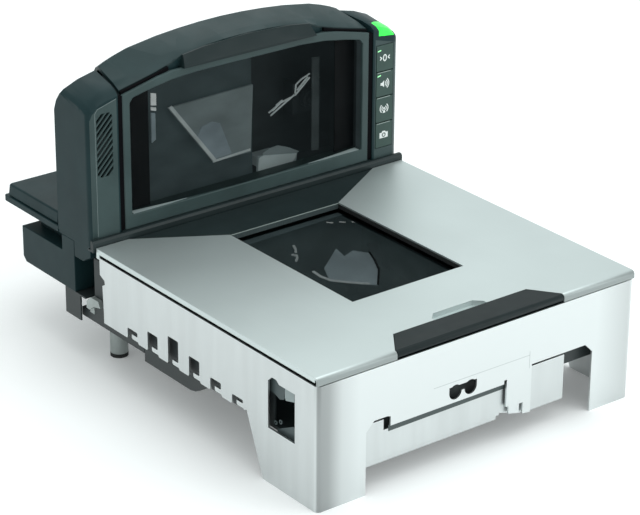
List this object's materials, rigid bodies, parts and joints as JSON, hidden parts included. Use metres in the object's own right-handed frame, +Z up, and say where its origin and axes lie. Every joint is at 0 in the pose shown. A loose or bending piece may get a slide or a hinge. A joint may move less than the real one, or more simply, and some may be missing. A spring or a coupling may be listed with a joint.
{
  "type": "in-counter barcode scanner",
  "caption": "Checkout scanner and scale: lift-off steel platter with a flat window in a skirted base, and a rear tower with an upright window and keys.",
  "frame": {"origin": "centre of the footprint, at the height of the feet", "axes": "+Z up, +Y from the operator's edge towards the tower and the counter flange, +X to the operator's right"},
  "size_m": [0.296, 0.3996, 0.2429],
  "materials": {
    "brushed_stainless": "brushed stainless sheet",
    "bright_stainless": "satin stainless sheet",
    "cast_grey": "light grey casting",
    "aluminium": "machined",
    "steel": "zinc plated",
    "dark_casting": "dark grey paint",
    "slate_plastic": "dark slate grey, fine texture",
    "bezel_plastic": "slate grey, satin",
    "key_plastic": "dark grey, satin",
    "black_plastic": "black, fine texture",
    "black_print": "black ink mask",
    "black_rubber": "matt",
    "window_glass": "dark coated glass",
    "clear_glass": "clear",
    "mirror": "front-surface mirror",
    "circuit_board": "solder mask",
    "white_print": "white screen-printed ink",
    "green_lens": "lit light pipe"
  },
  "bodies": {
    "base": {"skirt": "bright_stainless", "front_inner_plate": "bright_stainless", "vertical_glass": "window_glass", "lower_window": "clear_glass", "window_masks": "black_print", "skirt_brackets": "cast_grey", "base_pan": "dark_casting", "pan_screws": "steel", "lower_pod": "dark_casting", "chassis_deck": "dark_casting", "optics_housing": "black_plastic", "lower_mirror_main": "mirror", "lower_mirror_left": "mirror", "lower_mirror_right": "mirror", "lower_imager": "black_plastic", "scale_frame": "cast_grey", "support_pads": "black_rubber", "load_cell": "aluminium", "load_cell_mount": "aluminium", "foot_posts": "cast_grey", "foot_pads": "black_rubber", "rear_brackets": "dark_casting", "latch_hooks": "cast_grey", "tower_spine": "dark_casting", "tower_base": "slate_plastic", "rear_housing": "slate_plastic", "port_block": "black_plastic", "main_board": "circuit_board", "rear_flange": "slate_plastic", "rear_shelf": "slate_plastic", "top_shell": "slate_plastic", "bezel": "bezel_plastic", "base_lip": "black_plastic", "tower_optics_box": "black_plastic", "tower_mirror_main": "mirror", "tower_mirror_low": "mirror", "tower_imager": "black_plastic", "speaker_panel": "bezel_plastic", "key_panel": "bezel_plastic", "key_board": "circuit_board", "status_light": "green_lens", "window_liner": "black_plastic", "flange_pad": "black_rubber", "right_shell": "slate_plastic", "left_shell": "slate_plastic", "speaker": "black_plastic", "back_cover": "slate_plastic", "back_screws": "steel"},
    "platter": {"platter": "brushed_stainless", "platter_frame": "black_plastic", "horizontal_glass": "window_glass", "glass_gasket": "black_rubber", "apron": "black_plastic", "finger_scoop": "brushed_stainless", "lift_tab_pin": "steel"},
    "lift_tab": {"lift_tab": "black_plastic"},
    "key_zero": {"key_zero": "key_plastic"},
    "key_volume": {"key_volume": "key_plastic"},
    "key_tag": {"key_tag": "key_plastic"},
    "key_camera": {"key_camera": "key_plastic"}
  },
  "joints": [
    {"name": "platter_lift", "type": "slide", "parent": "base", "child": "platter", "axis": [0, 0, 1], "range_m": [0, 0.12]},
    {"name": "tab_hinge", "type": "hinge", "parent": "platter", "child": "lift_tab", "pos_m": [0, -0.19675, 0.0998], "axis": [1, 0, 0], "range_deg": [0, 80]},
    {"name": "key_zero_press", "type": "slide", "parent": "base", "child": "key_zero", "axis": [0, 1, 0], "range_m": [0, 0.001], "stiffness_N_per_m": 600, "springref_m": -0.0005},
    {"name": "key_volume_press", "type": "slide", "parent": "base", "child": "key_volume", "axis": [0, 1, 0], "range_m": [0, 0.001], "stiffness_N_per_m": 600, "springref_m": -0.0005},
    {"name": "key_tag_press", "type": "slide", "parent": "base", "child": "key_tag", "axis": [0, 1, 0], "range_m": [0, 0.001], "stiffness_N_per_m": 600, "springref_m": -0.0005},
    {"name": "key_camera_press", "type": "slide", "parent": "base", "child": "key_camera", "axis": [0, 1, 0], "range_m": [0, 0.001], "stiffness_N_per_m": 600, "springref_m": -0.0005}
  ]
}
